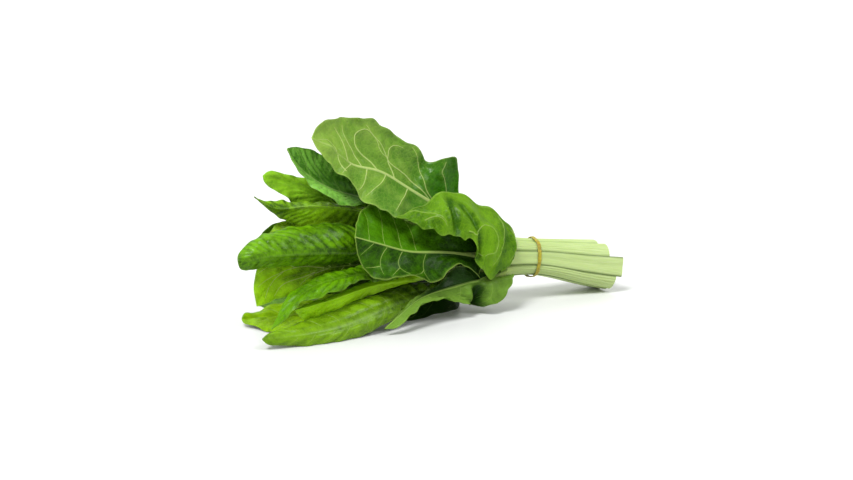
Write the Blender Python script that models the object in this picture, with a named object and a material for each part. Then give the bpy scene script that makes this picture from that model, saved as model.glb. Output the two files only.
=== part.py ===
"""Swiss chard: a tied bunch of sixteen leaves lying on a surface.

Each leaf is one solid, from the cut end of its stalk to the tip of its blade. A rubber band goes
round the stalks. From there the leaves fan out, and the bunch rests on its three lowest blades and on
the cut ends of its lowest stalks. Lengths are in millimetres, and become metres in the meshes.
+X runs from the blades to the cut ends, -Y is the front and +Z is up.
"""
import bpy
import numpy as np

MM = 0.001

# The bunch of stalks: its centre line, how far it is spread, and its rings of stalks
BUNCH_X = (45, 100, 175)
BUNCH_Y = (-3.0, 0.0, 2.0)
BUNCH_Z = (42.0, 35.0, 18.8)
BUNCH_SPREAD = (1.5, 1.0, 1.55)
RING_RADIUS = {"outer": 11.4, "inner": 6.9, "centre": 0.5}
RING_STALK = {"outer": 1.0, "inner": 0.65, "centre": 0.62}
FACE_OUT_SHIFT = {"outer": 2.0, "inner": 0.8, "centre": 0.0}
STALK_STATIONS = (135, 98, 62)

# A stalk at its cut end, behind the band and at the neck, then the rib at the blade's base and tip
RIB_AT = (0.0, 0.55, 0.85, 1.0, 2.0)
RIB_HALF_WIDTH = (6.0, 4.1, 3.4, 3.0, 0.8)
RIB_BACK = (3.6, 3.0, 2.6, 2.3, 0.4)
RIB_FRONT = (1.3, 1.0, 0.7, 0.3, 0.1)

# The blade's sheet, and how finely a leaf is divided
SHEET = 0.75
TIP_HALF_WIDTH = 0.35
STALK_ROWS = (0.0, 0.22, 0.42, 0.60, 0.80, 0.92)
BLADE_ROWS = 18
SIDE_COLUMNS = 4

# What comes closer to the surface than this lies flat on it
ON_SURFACE = 0.4

# The rubber band
BAND_X = 97.0
BAND_LEAN = 0.12
BAND_WIDTH = 3.2
BAND_THICKNESS = 1.1
BAND_GAP = 0.4
BAND_REACH = 4.0
BAND_STEPS = 40

# Middle of the bunch's footprint, in the coordinates of the points below
MIDDLE = (1.56, 5.75)

# Every leaf: the ring and the turn of its stalk round the bunch (0 is up, 90 is the front), where
# the stalk is cut, and whether its inner face looks outwards; then the points of the midrib from
# the blade's base to its tip, the points of the two margins between those ends, how far each half
# arches from rib to margin (a share of its width, at even steps along it), and the margin's waves
# (height, number, start).
LEAVES = {
    "leaf_crown": dict(
        ring="outer", turn=350, cut=160, face_out=False,
        midrib=[(53, -2, 62), (32, 2, 74), (4, 4, 91), (-24, 4, 110), (-46, 2, 123), (-70, -2, 131),
                (-88, -6, 145), (-107, -10, 157)],
        right=[(36, -2, 66), (-4, -12, 79), (-40, -26, 89), (-56, -26, 99), (-67, -22, 103),
               (-71, -17, 113), (-82, -14, 125), (-92, -12, 134), (-102, -11, 147)],
        left=[(33, 8, 90), (32, 9, 118), (26, 6, 129), (15, 8, 126), (6, 15, 125), (-4, 13, 137),
              (-17, 13, 145), (-29, 13, 153), (-42, 11, 163), (-66, 8, 168), (-96, -2, 167)],
        bulge=dict(right=[-0.03, -0.05, -0.05], left=[0.0, 0.05, 0.08]),
    ),
    "leaf_saddle": dict(
        ring="outer", turn=34, cut=166, face_out=False,
        midrib=[(70, -12, 56), (58, -12, 78), (36, -14, 91), (12, -16, 103), (-14, -23, 96),
                (-44, -34, 91)],
        right=[(68, -26, 42), (52, -32, 35), (40, -36, 32), (28, -40, 48), (22, -42, 66), (4, -42, 72),
               (-19, -41, 80), (-32, -38, 87)],
        left=[(63, -8, 68), (38, -10, 82), (14, -12, 93), (-13, -20, 90)],
        bulge=dict(right=[-0.25, -0.25, -0.1], left=[-0.1, -0.1, -0.1]),
    ),
    "leaf_cupped": dict(
        ring="outer", turn=79, cut=177, face_out=True,
        midrib=[(42, -24, 48), (26, -27, 51), (-3, -31, 57), (-33, -37, 62), (-56, -40, 70),
                (-72, -42, 76), (-83, -42, 80)],
        right=[(36, -22, 59), (14, -24, 73), (-7, -21, 77), (-29, -14, 84), (-49, -12, 97),
               (-63, -16, 98), (-77, -32, 90)],
        left=[(35, -32, 32), (16, -38, 46), (-4, -45, 42), (-13, -49, 37), (-39, -53, 46),
              (-56, -53, 45), (-70, -52, 47), (-80, -50, 57), (-83, -46, 70)],
        bulge=dict(right=[-0.1, -0.15, -0.12], left=[-0.1, -0.15, -0.12]),
    ),
    "leaf_ruffled": dict(
        ring="outer", turn=124, cut=170, face_out=False,
        midrib=[(59, -22, 31), (40, -28, 29), (16, -34, 28), (-8, -40, 26), (-30, -48, 23),
                (-48, -55, 15), (-65, -60, 6)],
        right=[(64, -31, 40), (62, -36, 33), (58, -38, 21), (48, -39, 11), (38, -38, 8), (30, -33, 8),
               (16, -41, 13), (-4, -47, 21), (-22, -52, 22), (-38, -58, 17), (-54, -62, 7)],
        left=[(55, -22, 37), (40, -22, 33), (16, -28, 32), (-2, -33, 31), (-21, -41, 28), (-37, -48, 23),
              (-50, -54, 15)],
        bulge=dict(right=[0.0, 0.0, 0.0], left=[0.0, 0.0, 0.0]),
    ),
    "leaf_front_low": dict(
        ring="outer", turn=169, cut=166, face_out=True,
        midrib=[(16, -20, 19), (-11, -29, 22), (-39, -40, 21), (-65, -49, 18), (-98, -57, 12),
                (-130, -61, 10), (-151, -61, 9), (-169, -58, 9)],
        right=[(4, -10, 25), (-10, -12, 28), (-30, -15, 28), (-53, -22, 23), (-86, -27, 14),
               (-120, -36, 7), (-145, -44, 7), (-161, -51, 10)],
        left=[(-13, -33, 17), (-39, -42, 11), (-61, -50, 7), (-80, -55, 2), (-108, -59, -1),
              (-138, -60, 0), (-156, -59, 3), (-165, -60, 5)],
        bulge=dict(right=[0.05, 0.28, 0.4, 0.36], left=[0.1, 0.18, 0.15]),
        waves=dict(right=(1.5, 4, 0.2)),
    ),
    "leaf_folded": dict(
        ring="inner", turn=115, cut=158, face_out=True,
        midrib=[(-29, -25, 41), (-52, -30, 44), (-75, -36, 46), (-96, -40, 46), (-121, -44, 42),
                (-139, -46, 31), (-157, -47, 13)],
        right=[(-47, -18, 45), (-67, -18, 45), (-87, -22, 44), (-109, -26, 41), (-128, -30, 35),
               (-142, -36, 26)],
        left=[(-55, -36, 39), (-78, -44, 44), (-99, -51, 40), (-120, -54, 37), (-135, -54, 33),
              (-148, -52, 21)],
        bulge=dict(right=[0.2, 0.32, 0.28], left=[0.1, 0.2, 0.2]),
        waves=dict(right=(1.5, 4, 0.1), left=(1.0, 5, 0.3)),
    ),
    "leaf_rolled": dict(
        ring="centre", turn=150, cut=166, face_out=True,
        midrib=[(-8, -20, 33), (-29, -25, 34), (-52, -29, 35), (-71, -33, 34), (-90, -37, 31),
                (-114, -42, 28), (-137, -46, 26)],
        right=[(-28, -19, 37), (-48, -20, 36), (-66, -21, 33), (-85, -24, 27), (-107, -30, 25),
               (-125, -38, 26)],
        left=[(-52, -30, 30), (-71, -33, 26), (-90, -36, 22), (-108, -39, 18), (-126, -43, 16)],
        bulge=dict(right=[0.15, 0.25, 0.2], left=[0.0, -0.05, -0.05]),
        waves=dict(left=(1.0, 3, 0.3)),
    ),
    "leaf_low_tip": dict(
        ring="inner", turn=166, cut=160, face_out=True,
        midrib=[(36, -5, 25), (14, -5, 22), (-14, -4, 19), (-38, -2, 18), (-65, 3, 15), (-95, 8, 9),
                (-124, 12, 5), (-143, 15, 5), (-160, 18, 5)],
        right=[(30, 4, 30), (6, 8, 28), (-30, 10, 26), (-60, 16, 25), (-88, 24, 15), (-118, 30, 11),
               (-139, 26, 9), (-151, 22, 9), (-157, 20, 9)],
        left=[(38, -7, 10), (30, -8, 1), (12, -14, -1), (-4, -19, -1), (-24, -28, 0), (-46, -27, 5),
              (-72, -18, 8), (-106, -20, 5), (-136, -19, 2), (-149, -10, 1), (-155, 2, 3), (-160, 11, 3)],
        bulge=dict(right=[0.0, 0.08, 0.08], left=[0.0, 0.08, 0.08]),
        waves=dict(right=(2.0, 4, 0.0), left=(1.0, 4, 0.4)),
    ),
    "leaf_broad": dict(
        ring="inner", turn=217, cut=168, face_out=False,
        midrib=[(-11, 2, 40), (-34, 2, 43), (-61, 1, 45), (-89, -2, 46), (-114, -6, 45), (-137, -9, 42),
                (-150, -11, 34), (-157, -12, 23)],
        right=[(-28, 6, 49), (-49, 8, 60), (-76, 8, 72), (-113, 4, 82), (-128, 1, 88), (-142, -4, 82),
               (-154, -10, 59), (-159, -12, 42)],
        left=[(-30, 0, 36), (-54, -2, 30), (-81, -4, 26), (-109, -7, 24), (-129, -9, 28),
              (-145, -11, 25)],
        bulge=dict(right=[0.0, 0.08, 0.08], left=[0.0, 0.05, 0.05]),
        waves=dict(left=(1.5, 4, 0.2)),
    ),
    "leaf_blistered": dict(
        ring="inner", turn=63, cut=172, face_out=True,
        midrib=[(-25, -20, 57), (-49, -23, 60), (-77, -26, 62), (-104, -28, 65), (-134, -29, 67),
                (-157, -27, 67), (-175, -22, 62)],
        right=[(-46, -16, 67), (-71, -12, 81), (-93, -12, 86), (-114, -11, 86), (-131, -11, 85),
               (-149, -11, 82), (-166, -15, 75), (-174, -18, 68)],
        left=[(-45, -14, 52), (-72, -13, 52), (-98, -14, 52), (-129, -16, 55), (-154, -18, 56),
              (-166, -19, 56), (-173, -21, 58)],
        bulge=dict(right=[0.15, 0.22, 0.22], left=[0.1, 0.1, 0.1]),
        waves=dict(right=(1.0, 5, 0.0)),
    ),
    "leaf_twisted": dict(
        ring="inner", turn=12, cut=170, face_out=False,
        midrib=[(-23, -5, 77), (-42, -6, 86), (-65, -8, 94), (-91, -9, 99), (-118, -10, 101),
                (-139, -10, 102), (-156, -8, 113)],
        right=[(-40, -2, 88), (-61, 0, 94), (-88, 0, 101), (-114, -1, 103), (-136, -3, 107),
               (-147, -5, 108)],
        left=[(-42, -6, 79), (-64, -5, 80), (-87, -4, 81), (-112, -4, 82), (-130, -6, 91),
              (-144, -8, 101)],
        bulge=dict(right=[-0.1, -0.1, -0.1], left=[-0.1, -0.1, -0.1]),
        waves=dict(left=(0.8, 4, 0.0)),
    ),
    "leaf_bright": dict(
        ring="inner", turn=320, cut=164, face_out=False,
        midrib=[(-18, 8, 74), (-34, 13, 84), (-59, 16, 95), (-90, 18, 104), (-116, 18, 115),
                (-140, 16, 124)],
        right=[(-31, 20, 93), (-52, 24, 108), (-78, 24, 116), (-101, 22, 118), (-122, 20, 124),
               (-134, 18, 127)],
        left=[(-34, 12, 78), (-56, 13, 79), (-83, 13, 83), (-110, 12, 94), (-123, 12, 106),
              (-134, 14, 114), (-139, 15, 119)],
        bulge=dict(right=[0.1, 0.1, 0.1], left=[0.1, 0.1, 0.1]),
        waves=dict(left=(1.0, 4, 0.0)),
    ),
    "leaf_blue_green": dict(
        ring="outer", turn=304, cut=162, face_out=False,
        midrib=[(25, 10, 68), (-13, 9, 85), (-55, 4, 100), (-81, 0, 109), (-101, -2, 120),
                (-116, -1, 134), (-124, 1, 148)],
        right=[(-9, 18, 95), (-40, 18, 113), (-64, 16, 127), (-84, 13, 135), (-100, 9, 143),
               (-114, 5, 148)],
        left=[(-14, 7, 82), (-43, 2, 95), (-57, -3, 98), (-78, -14, 99), (-94, -18, 108),
              (-109, -14, 119), (-120, -6, 135)],
        bulge=dict(right=[-0.05, -0.1, -0.1], left=[0.0, 0.0, 0.0]),
        waves=dict(right=(1.5, 4, 0.0)),
    ),
    "leaf_back_low": dict(
        ring="outer", turn=214, cut=167, face_out=False,
        midrib=[(34, 10, 24), (0, 22, 12), (-40, 34, 4), (-80, 41, 2), (-115, 42, 4), (-138, 40, 9)],
        right=[(4, 40, 13), (-40, 66, 7), (-80, 74, 5), (-115, 62, 8)],
        left=[(0, 8, 9), (-40, 4, 3), (-80, 8, 1), (-115, 22, 3)],
        bulge=dict(right=[0.0, -0.05, -0.05], left=[0.0, -0.05, -0.05]),
        waves=dict(right=(3.0, 4, 0.1), left=(0.8, 4, 0.1)),
    ),
    "leaf_back_middle": dict(
        ring="outer", turn=259, cut=163, face_out=False,
        midrib=[(38, 19, 36), (0, 36, 34), (-40, 50, 36), (-80, 54, 40), (-120, 50, 47), (-146, 42, 54)],
        right=[(0, 40, 52), (-40, 56, 68), (-80, 58, 76), (-118, 50, 74)],
        left=[(0, 34, 22), (-40, 50, 15), (-80, 58, 14), (-118, 54, 26)],
        bulge=dict(right=[0.0, -0.05, -0.05], left=[0.0, -0.05, -0.05]),
        waves=dict(right=(3.0, 4, 0.3), left=(3.0, 4, 0.6)),
    ),
    "leaf_back_top": dict(
        ring="inner", turn=268, cut=158, face_out=False,
        midrib=[(38, 14, 48), (0, 30, 60), (-40, 38, 74), (-75, 38, 88), (-104, 32, 101)],
        right=[(0, 27, 78), (-35, 32, 100), (-72, 32, 110)],
        left=[(0, 35, 53), (-40, 46, 53), (-76, 47, 64)],
        bulge=dict(right=[0.0, -0.05, -0.05], left=[0.0, -0.05, -0.05]),
        waves=dict(right=(2.5, 3, 0.3), left=(2.5, 3, 0.6)),
    ),
}

GREENS = {
    "leaf_crown": (0.19, 0.36, 0.07),
    "leaf_saddle": (0.20, 0.42, 0.06),
    "leaf_cupped": (0.12, 0.30, 0.04),
    "leaf_ruffled": (0.24, 0.42, 0.11),
    "leaf_blue_green": (0.07, 0.21, 0.06),
    "leaf_twisted": (0.09, 0.24, 0.03),
    "leaf_bright": (0.24, 0.46, 0.06),
}
PLAIN_GREEN = (0.18, 0.38, 0.05)
BAND_OCHRE = (0.55, 0.36, 0.06)


def ease(share):
    """From 0 to 1 and level at both ends: 3 s^2 - 2 s^3."""
    share = np.clip(share, 0, 1)
    return share * share * (3 - 2 * share)


def unit(vectors):
    """The vectors at length 1."""
    return vectors / np.maximum(np.linalg.norm(vectors, axis=-1, keepdims=True), 1e-9)


def spline(knots, values, at):
    """Natural cubic spline through the values at the knots, read at the places `at`."""
    gap = np.diff(knots)
    count = len(knots)
    system = np.eye(count)
    pull = np.zeros_like(values)
    for k in range(1, count - 1):
        system[k, k - 1 : k + 2] = gap[k - 1], 2 * (gap[k - 1] + gap[k]), gap[k]
        pull[k] = 6 * ((values[k + 1] - values[k]) / gap[k] - (values[k] - values[k - 1]) / gap[k - 1])
    bend = np.linalg.solve(system, pull)
    k = np.clip(np.searchsorted(knots, at) - 1, 0, count - 2)
    step = gap[k][:, None]
    ahead = (knots[k + 1] - at)[:, None] / step
    behind = 1 - ahead
    curve = ((ahead**3 - ahead) * bend[k] + (behind**3 - behind) * bend[k + 1]) * step**2 / 6
    return ahead * values[k] + behind * values[k + 1] + curve


def trace(points):
    """A smooth curve through the points: places along it, their run, and the run at each point."""
    points = np.asarray(points, float)
    gaps = np.linalg.norm(np.diff(points, axis=0), axis=1) ** 0.7
    knots = np.concatenate([[0], np.cumsum(gaps)])
    fine = np.linspace(0, knots[-1], 600)
    place = spline(knots, points, fine)
    run = np.concatenate([[0], np.cumsum(np.linalg.norm(np.diff(place, axis=0), axis=1))])
    return place, run, np.interp(knots, fine, run)


def read(place, run, at):
    """The curve's places at the runs `at`."""
    return np.stack([np.interp(at, run, place[:, k]) for k in range(3)], axis=1)


def stalk_place(leaf, x):
    """Where a leaf's stalk lies at x: a polar place round the bunch's centre line."""
    out = RING_RADIUS[leaf["ring"]] * np.interp(x, BUNCH_X, BUNCH_SPREAD)
    if leaf["face_out"]:
        out += FACE_OUT_SHIFT[leaf["ring"]]
    turn = np.radians(leaf["turn"])
    y = np.interp(x, BUNCH_X, BUNCH_Y) - out * np.sin(turn)
    z = np.interp(x, BUNCH_X, BUNCH_Z) + out * np.cos(turn)
    return (x, y, z)


def leaf_half(leaf, side, mid, along, stalk_side, rib, blade, base):
    """One half of a leaf: places and distances from the midrib, column by column.

    A row runs from the midrib straight to the margin, arches as 4 q (1 - q), and is lifted by the
    margin's waves as q^2, where q is the share of the way out.
    """
    sign = 1 if side == "right" else -1
    ends = leaf["midrib"]
    place, run, _ = trace([ends[0]] + leaf[side] + [ends[-1]])
    chord = np.where(base[:, None], read(place, run, blade * run[-1]) - mid, 0)
    reach = np.linalg.norm(chord, axis=1)
    width = np.sqrt(reach**2 + (rib * (1 - blade)) ** 2 + TIP_HALF_WIDTH**2)
    lean = ease(blade / 0.16)[:, None]
    out = unit((1 - lean) * sign * stalk_side + lean * unit(chord)) * width[:, None]
    lift = unit(np.cross(out, along)) * sign
    power = np.maximum(1, np.log(width / np.maximum(rib, 0.3)) / np.log(SIDE_COLUMNS))
    q = (np.arange(SIDE_COLUMNS + 1) / SIDE_COLUMNS)[None] ** power[:, None]
    bulge = leaf["bulge"][side]
    arch = np.interp(blade, np.linspace(0, 1, len(bulge)), bulge) * ease(blade / 0.1) * width
    height, count, start = leaf.get("waves", {}).get(side, (0, 0, 0))
    swing = np.sin(2 * np.pi * (count * blade + start))
    wave = height * swing * ease(blade / 0.12) * ease((1 - blade) / 0.12)
    rise = 4 * q * (1 - q) * arch[:, None] + wave[:, None] * q**2
    places = mid[:, None] + q[..., None] * out[:, None] + rise[..., None] * lift[:, None]
    return places, q * width[:, None]


def leaf_sheet(leaf):
    """A leaf's middle surface as rows of places, and how far its rib stands out in front and behind."""
    stations = (leaf["cut"],) + STALK_STATIONS
    stalk = [stalk_place(leaf, x) for x in stations]
    place, run, knot_run = trace(stalk + leaf["midrib"])
    stalk_run = knot_run[len(stalk)]
    share = (1 - np.cos(np.pi * np.arange(BLADE_ROWS + 1) / BLADE_ROWS)) / 2
    at = np.concatenate([np.array(STALK_ROWS) * stalk_run, stalk_run + share * (run[-1] - stalk_run)])
    blade = np.clip((at - stalk_run) / (run[-1] - stalk_run), 0, 1)
    mid = read(place, run, at)
    along = unit(read(np.gradient(place, run, axis=0), run, at))
    face = np.radians(leaf["turn"] + (0 if leaf["face_out"] else 180))
    stalk_side = unit(np.cross(along, (0, -np.sin(face), np.cos(face))))
    size = RING_STALK[leaf["ring"]]
    where = np.where(at < stalk_run, at / stalk_run, 1 + blade)
    rib = size * np.interp(where, RIB_AT, RIB_HALF_WIDTH)
    halves = [leaf_half(leaf, side, mid, along, stalk_side, rib, blade, at > stalk_run)
              for side in ("left", "right")]
    sheet = np.concatenate([halves[0][0][:, :0:-1], halves[1][0]], axis=1)
    across = np.concatenate([-halves[0][1][:, :0:-1], halves[1][1]], axis=1)
    ridge = size * np.sqrt(np.clip(1 - (across / rib[:, None]) ** 2, 0, 1))
    front = np.interp(where, RIB_AT, RIB_FRONT)[:, None] * ridge
    back = np.interp(where, RIB_AT, RIB_BACK)[:, None] * ridge
    return sheet, front, back


def leaf_solid(leaf):
    """The closed body of a leaf: its two faces, cut into triangles alike, then its rims and ends."""
    sheet, front, back = leaf_sheet(leaf)
    normal = unit(np.cross(np.gradient(sheet, axis=1), np.gradient(sheet, axis=0)))
    sheet[..., 2] = np.maximum(sheet[..., 2], SHEET / 2)
    upper = sheet + normal * (SHEET / 2 + front)[..., None]
    lower = sheet - normal * (SHEET / 2 + back)[..., None]
    vertices = np.concatenate([upper.reshape(-1, 3), lower.reshape(-1, 3)])
    vertices[:, 2] = np.where(vertices[:, 2] < ON_SURFACE, 0, vertices[:, 2])
    top = np.arange(upper.shape[0] * upper.shape[1]).reshape(upper.shape[:2])
    under = top + top.size
    faces = quads(top[:-1, :-1], top[:-1, 1:], top[1:, 1:], top[1:, :-1])
    faces += quads(under[:-1, :-1], under[1:, :-1], under[1:, 1:], under[:-1, 1:])
    faces += quads(top[:-1, 0], top[1:, 0], under[1:, 0], under[:-1, 0])
    faces += quads(top[1:, -1], top[:-1, -1], under[:-1, -1], under[1:, -1])
    faces += quads(top[0, 1:], top[0, :-1], under[0, :-1], under[0, 1:])
    faces += quads(top[-1, :-1], top[-1, 1:], under[-1, 1:], under[-1, :-1])
    return vertices, faces


def quads(a, b, c, d):
    """Two triangles for each square a, b, c, d, cut from a to c."""
    corners = np.stack([a, b, c, a, c, d], axis=-1)
    return corners.reshape(-1, 3).tolist()


def band_solid(stalks):
    """The rubber band: the outline of the stalks, moved out by a small gap, as a flat strip.

    In each direction round the bunch, the place of the stalks that lies furthest out carries the band.
    """
    turn = np.linspace(0, 2 * np.pi, BAND_STEPS, endpoint=False)
    out = np.stack([np.zeros(BAND_STEPS), -np.sin(turn), np.cos(turn)], axis=1)
    carry = stalks[np.argmax(stalks @ out.T, axis=0)]
    half = BAND_WIDTH / 2
    bevel = BAND_THICKNESS / 4
    section = ((-half, bevel), (-half, BAND_THICKNESS - bevel), (bevel - half, BAND_THICKNESS),
               (half - bevel, BAND_THICKNESS), (half, BAND_THICKNESS - bevel), (half, bevel),
               (half - bevel, 0), (bevel - half, 0))
    rings = []
    for shift, height in section:
        ring = carry + out * (BAND_GAP + height)
        ring[:, 0] = BAND_X + shift + BAND_LEAN * (ring[:, 2] - BUNCH_Z[1])
        rings.append(ring)
    at = np.arange(len(section) * BAND_STEPS).reshape(len(section), BAND_STEPS)
    ahead = np.roll(at, -1, axis=1)
    faces = quads(at, ahead, np.roll(ahead, -1, axis=0), np.roll(at, -1, axis=0))
    return np.concatenate(rings), faces


def stalk_outline(vertices):
    """Where the long edges of a leaf's body cross three planes under and beside the band."""
    rows = len(STALK_ROWS)
    columns = 2 * SIDE_COLUMNS + 1
    body = vertices.reshape(2, -1, columns, 3)[:, :rows]
    found = []
    for x in (BAND_X - BAND_REACH, BAND_X, BAND_X + BAND_REACH):
        for edge in body.transpose(0, 2, 1, 3).reshape(-1, rows, 3):
            back = edge[::-1]
            found.append((x, np.interp(x, back[:, 0], back[:, 1]), np.interp(x, back[:, 0], back[:, 2])))
    return np.array(found)


def add_object(name, vertices, faces, colour, roughness):
    """One named object with its own material, its place held in its mesh."""
    mesh = bpy.data.meshes.new(name)
    placed = (vertices - np.array([MIDDLE[0], MIDDLE[1], 0])) * MM
    mesh.from_pydata(placed.tolist(), [], faces)
    mesh.shade_smooth()
    mesh.set_sharp_from_angle(angle=np.radians(60))
    material = bpy.data.materials.new(name)
    material.use_nodes = True
    shader = material.node_tree.nodes["Principled BSDF"]
    shader.inputs["Base Color"].default_value = (*colour, 1)
    shader.inputs["Roughness"].default_value = roughness
    shader.inputs["Metallic"].default_value = 0
    mesh.materials.append(material)
    bpy.context.scene.collection.objects.link(bpy.data.objects.new(name, mesh))


for old in list(bpy.data.objects):
    bpy.data.objects.remove(old, do_unlink=True)

stalks = []
for name, leaf in LEAVES.items():
    vertices, faces = leaf_solid(leaf)
    stalks.append(stalk_outline(vertices))
    add_object(name, vertices, faces, GREENS.get(name, PLAIN_GREEN), 0.45)

vertices, faces = band_solid(np.concatenate(stalks))
add_object("rubber_band", vertices, faces, BAND_OCHRE, 0.55)
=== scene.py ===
import bpy
import numpy as np
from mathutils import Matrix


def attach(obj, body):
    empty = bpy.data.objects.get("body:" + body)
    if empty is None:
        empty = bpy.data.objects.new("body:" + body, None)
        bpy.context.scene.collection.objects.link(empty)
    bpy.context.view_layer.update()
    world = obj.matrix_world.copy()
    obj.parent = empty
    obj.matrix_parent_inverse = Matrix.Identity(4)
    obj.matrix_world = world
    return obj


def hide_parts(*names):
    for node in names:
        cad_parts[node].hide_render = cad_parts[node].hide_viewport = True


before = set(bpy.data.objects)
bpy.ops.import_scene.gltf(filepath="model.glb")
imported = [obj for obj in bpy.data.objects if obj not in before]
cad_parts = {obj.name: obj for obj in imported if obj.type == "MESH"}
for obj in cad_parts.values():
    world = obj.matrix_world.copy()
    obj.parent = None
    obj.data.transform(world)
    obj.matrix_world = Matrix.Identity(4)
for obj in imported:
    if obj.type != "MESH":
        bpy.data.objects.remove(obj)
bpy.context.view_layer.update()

# Table, light and camera
# The bunch lies on a pale studio table under large soft lamps. The camera looks from the front left
# and a little from above, through a long lens. Lengths in this file are millimetres in the bunch's
# own layout: less its MIDDLE, and times MM, they are places in the frame.
MM = 0.001
MIDDLE = np.array([1.56, 5.75, 0.0])


def add(name, data):
    """A new object in the scene, for a mesh, a lamp or a camera."""
    thing = bpy.data.objects.new(name, data)
    bpy.context.scene.collection.objects.link(thing)
    return thing


def new_material(name):
    """A new material, its node tree and its shader."""
    made = bpy.data.materials.new(name)
    made.use_nodes = True
    return made, made.node_tree, made.node_tree.nodes["Principled BSDF"]


def feed(tree, node, values):
    """Gives a node's inputs these values, or links them to these outputs of other nodes."""
    for socket, value in values.items():
        if isinstance(value, bpy.types.NodeSocket):
            tree.links.new(value, node.inputs[socket])
        else:
            node.inputs[socket].default_value = value


def daylight(name, azimuth, height, power, softness):
    """A soft far lamp: it shines from a compass azimuth (0 is the front) and a height over the table."""
    data = bpy.data.lights.new(name, "SUN")
    data.energy = power
    data.angle = np.radians(softness)
    add(name, data).rotation_euler = (np.radians(90 - height), 0, np.radians(azimuth))


daylight("lamp_main", -55, 58, 2.75, 20)
daylight("lamp_front", 42, 44, 1.0, 24)
daylight("lamp_left", -105, 28, 0.8, 35)
daylight("lamp_back", 160, 50, 0.7, 40)

SKY_POWER = 0.54
world = bpy.data.worlds.new("studio")
world.use_nodes = True
world.node_tree.nodes["Background"].inputs["Color"].default_value = (1, 1, 1, 1)
world.node_tree.nodes["Background"].inputs["Strength"].default_value = SKY_POWER
bpy.context.scene.world = world
bpy.context.scene.view_settings.view_transform = "Standard"

TABLE_REACH = 4000
TABLE_DROP = 0.1
table_mesh = bpy.data.meshes.new("table")
corners = np.array([(-1, -1, 0), (1, -1, 0), (1, 1, 0), (-1, 1, 0)]) * TABLE_REACH - (0, 0, TABLE_DROP)
table_mesh.from_pydata((corners * MM).tolist(), [], [(0, 1, 2, 3)])
table_skin, tree, shader = new_material("table")
feed(tree, shader, {"Base Color": (0.72, 0.73, 0.72, 1), "Roughness": 0.4})
table_mesh.materials.append(table_skin)
table = add("table", table_mesh)

LENS = 85
FILM_WIDTH = 36
VIEW_AZIMUTH = np.radians(-24)
VIEW_HEIGHT = np.radians(13.5)
VIEW_DISTANCE = 1690
VIEW_TARGET = np.array([-1.5, 0, 60.4]) - MIDDLE
towards_camera = np.array([np.sin(VIEW_AZIMUTH) * np.cos(VIEW_HEIGHT),
                           -np.cos(VIEW_AZIMUTH) * np.cos(VIEW_HEIGHT), np.sin(VIEW_HEIGHT)])
camera_data = bpy.data.cameras.new("camera")
camera_data.lens = LENS
camera_data.sensor_width = FILM_WIDTH
camera = add("camera", camera_data)
camera.location = (VIEW_TARGET + towards_camera * VIEW_DISTANCE) * MM
camera.rotation_euler = (np.pi / 2 - VIEW_HEIGHT, 0, VIEW_AZIMUTH)
bpy.context.scene.camera = camera

# The crown leaf
# The big leaf at the top of the bunch turns its back to the front: a pale raised rib with raised
# side veins. Like every leaf it is one grown piece, from its cut stalk to its tip, and its skin is
# worked out here, from the same rib and margins as its solid, with veins and blisters added.
BUNCH_X = (45, 100, 175)
BUNCH_Y = (-3.0, 0.0, 2.0)
BUNCH_Z = (42.0, 35.0, 18.8)
BUNCH_SPREAD = (1.5, 1.0, 1.55)
RING_RADIUS = {"outer": 11.4, "inner": 6.9, "centre": 0.5}
RING_STALK = {"outer": 1.0, "inner": 0.65, "centre": 0.62}
FACE_OUT_SHIFT = {"outer": 2.0, "inner": 0.8, "centre": 0.0}
STALK_STATIONS = (135, 98, 62)
STALK_FULLNESS = 0.46
NECK_FULLNESS = 0.5
RIB_AT = (0.0, 0.55, 0.85, 1.0, 2.0)
RIB_HALF_WIDTH = (6.0, 4.1, 3.4, 3.0, 0.8)
RIB_BACK = (3.6, 3.0, 2.6, 2.3, 0.4)
RIB_FRONT = (1.3, 1.0, 0.7, 0.3, 0.1)
SHEET = 0.75
TIP_HALF_WIDTH = 0.35
STALK_RIDGES = 3.5
RIDGE_HEIGHT = 0.2
CUT_HOLLOW = 0.35
BLISTER_REACH = 4.5
PUCKER_HEIGHT = 0.08
PUCKER_RATES = (0.36, 0.50, 0.66, 0.93)
CREASE_SHADE = 0.9
HALO_REACH = 1.6
EDGE_REACH = 0.9
SOFT_REACH = 14
BUMP_DEPTH = 0.35
SHARP_ANGLE = np.radians(62)

STALK_ROWS = 26
SIDE_COLUMNS = 28
RIB_COLUMNS = 6
CUT_ROWS = 5
VEIN_STEPS = 30
LINK_STEPS = 6
LINK_PLACES = (0.16, 0.30, 0.47, 0.68)
CHUNKS = 40


def ease(share):
    """From 0 to 1 and level at both ends: 3 s^2 - 2 s^3."""
    share = np.clip(share, 0, 1)
    return share * share * (3 - 2 * share)


def unit(vectors):
    """The vectors at length 1."""
    return vectors / np.maximum(np.linalg.norm(vectors, axis=-1, keepdims=True), 1e-9)


def spline(knots, values, at):
    """Natural cubic spline through the values at the knots, read at the places `at`."""
    gap = np.diff(knots)
    count = len(knots)
    system = np.eye(count)
    pull = np.zeros_like(values)
    for k in range(1, count - 1):
        system[k, k - 1 : k + 2] = gap[k - 1], 2 * (gap[k - 1] + gap[k]), gap[k]
        pull[k] = 6 * ((values[k + 1] - values[k]) / gap[k] - (values[k] - values[k - 1]) / gap[k - 1])
    bend = np.linalg.solve(system, pull)
    k = np.clip(np.searchsorted(knots, at) - 1, 0, count - 2)
    step = gap[k][:, None]
    ahead = (knots[k + 1] - at)[:, None] / step
    behind = 1 - ahead
    curve = ((ahead**3 - ahead) * bend[k] + (behind**3 - behind) * bend[k + 1]) * step**2 / 6
    return ahead * values[k] + behind * values[k + 1] + curve


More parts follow.
